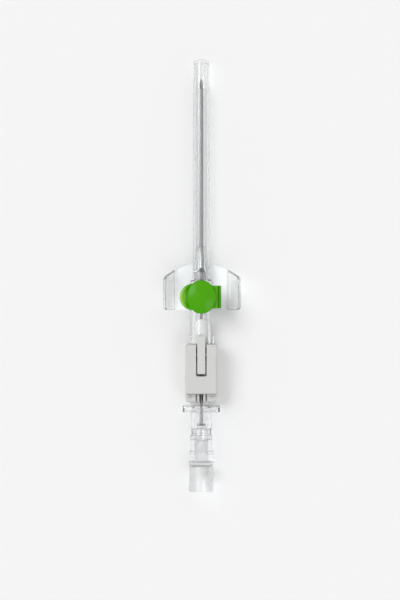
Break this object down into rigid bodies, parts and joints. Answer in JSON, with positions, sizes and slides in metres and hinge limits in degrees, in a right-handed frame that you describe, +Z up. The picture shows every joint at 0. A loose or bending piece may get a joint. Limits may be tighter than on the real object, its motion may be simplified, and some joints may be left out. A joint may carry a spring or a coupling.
{
  "type": "iv cannula",
  "caption": "Ported and winged safety IV cannula with its needle, needle cover, needle guard, green flip cap on the port, flash chamber and vent plug.",
  "frame": {"origin": "centre of the catheter hub's luer mouth, on the needle's axis", "axes": "+Y along the needle towards its point, +Z up through the port's cap, +X to the cap's hinge"},
  "size_m": [0.0223, 0.1232, 0.0124],
  "materials": {
    "needle_steel": "drawn stainless tube, fine polish",
    "catheter_plastic": "extruded, semi-clear",
    "ferrule_steel": "drawn stainless, smooth",
    "hub_plastic": "moulded, clear",
    "silicone": "moulded silicone, milky",
    "wing_plastic": "moulded, clear, fine texture",
    "ring_green": "moulded, coloured through",
    "cap_green": "moulded, coloured through",
    "cover_plastic": "moulded, clear",
    "guard_white": "moulded, satin white",
    "lever_white": "moulded, satin white",
    "clip_steel": "rolled stainless strip",
    "chamber_plastic": "moulded, clear",
    "adhesive": "set adhesive, smooth",
    "plug_plastic": "moulded, clear",
    "filter_white": "sintered, porous"
  },
  "bodies": {
    "catheter": {"catheter_hub": "hub_plastic", "catheter_tube": "catheter_plastic", "hub_ferrule": "ferrule_steel", "valve_sleeve": "silicone", "cap_ring": "ring_green"},
    "cover": {"needle_cover": "cover_plastic"},
    "cap": {"port_cap": "cap_green"},
    "left_wing": {"wing_left": "wing_plastic"},
    "right_wing": {"wing_right": "wing_plastic"},
    "guard": {"guard_base": "guard_white", "guard_housing": "guard_white", "tip_clip": "clip_steel"},
    "latch": {"latch_lever": "lever_white"},
    "stylet": {"needle": "needle_steel", "needle_hub": "chamber_plastic", "needle_bond": "adhesive", "flash_chamber": "chamber_plastic"},
    "plug": {"vent_plug": "plug_plastic", "vent_filter": "filter_white"}
  },
  "joints": [
    {"name": "cover_slide", "type": "slide", "parent": "catheter", "child": "cover", "axis": [0, 1, 0], "range_m": [0, 0.065]},
    {"name": "cap_hinge", "type": "hinge", "parent": "catheter", "child": "cap", "pos_m": [0.00525, 0.0133, 0.0065], "axis": [0, 1, 0], "range_deg": [0, 135]},
    {"name": "left_wing_fold", "type": "hinge", "parent": "catheter", "child": "left_wing", "pos_m": [-0.0076, 0.0154, -0.00335], "axis": [0, 1, 0], "range_deg": [-66, 20]},
    {"name": "right_wing_fold", "type": "hinge", "parent": "catheter", "child": "right_wing", "pos_m": [0.0076, 0.0154, -0.00335], "axis": [0, -1, 0], "range_deg": [-63, 20]},
    {"name": "guard_slide", "type": "slide", "parent": "catheter", "child": "guard", "axis": [0, -1, 0], "range_m": [0, 0.015]},
    {"name": "latch_rock", "type": "hinge", "parent": "guard", "child": "latch", "pos_m": [0, -0.0032, 0.0029], "axis": [1, 0, 0], "range_deg": [0, 5]},
    {"name": "needle_slide", "type": "slide", "parent": "guard", "child": "stylet", "axis": [0, -1, 0], "range_m": [0, 0.082]},
    {"name": "plug_slide", "type": "slide", "parent": "stylet", "child": "plug", "axis": [0, -1, 0], "range_m": [0, 0.012]}
  ]
}
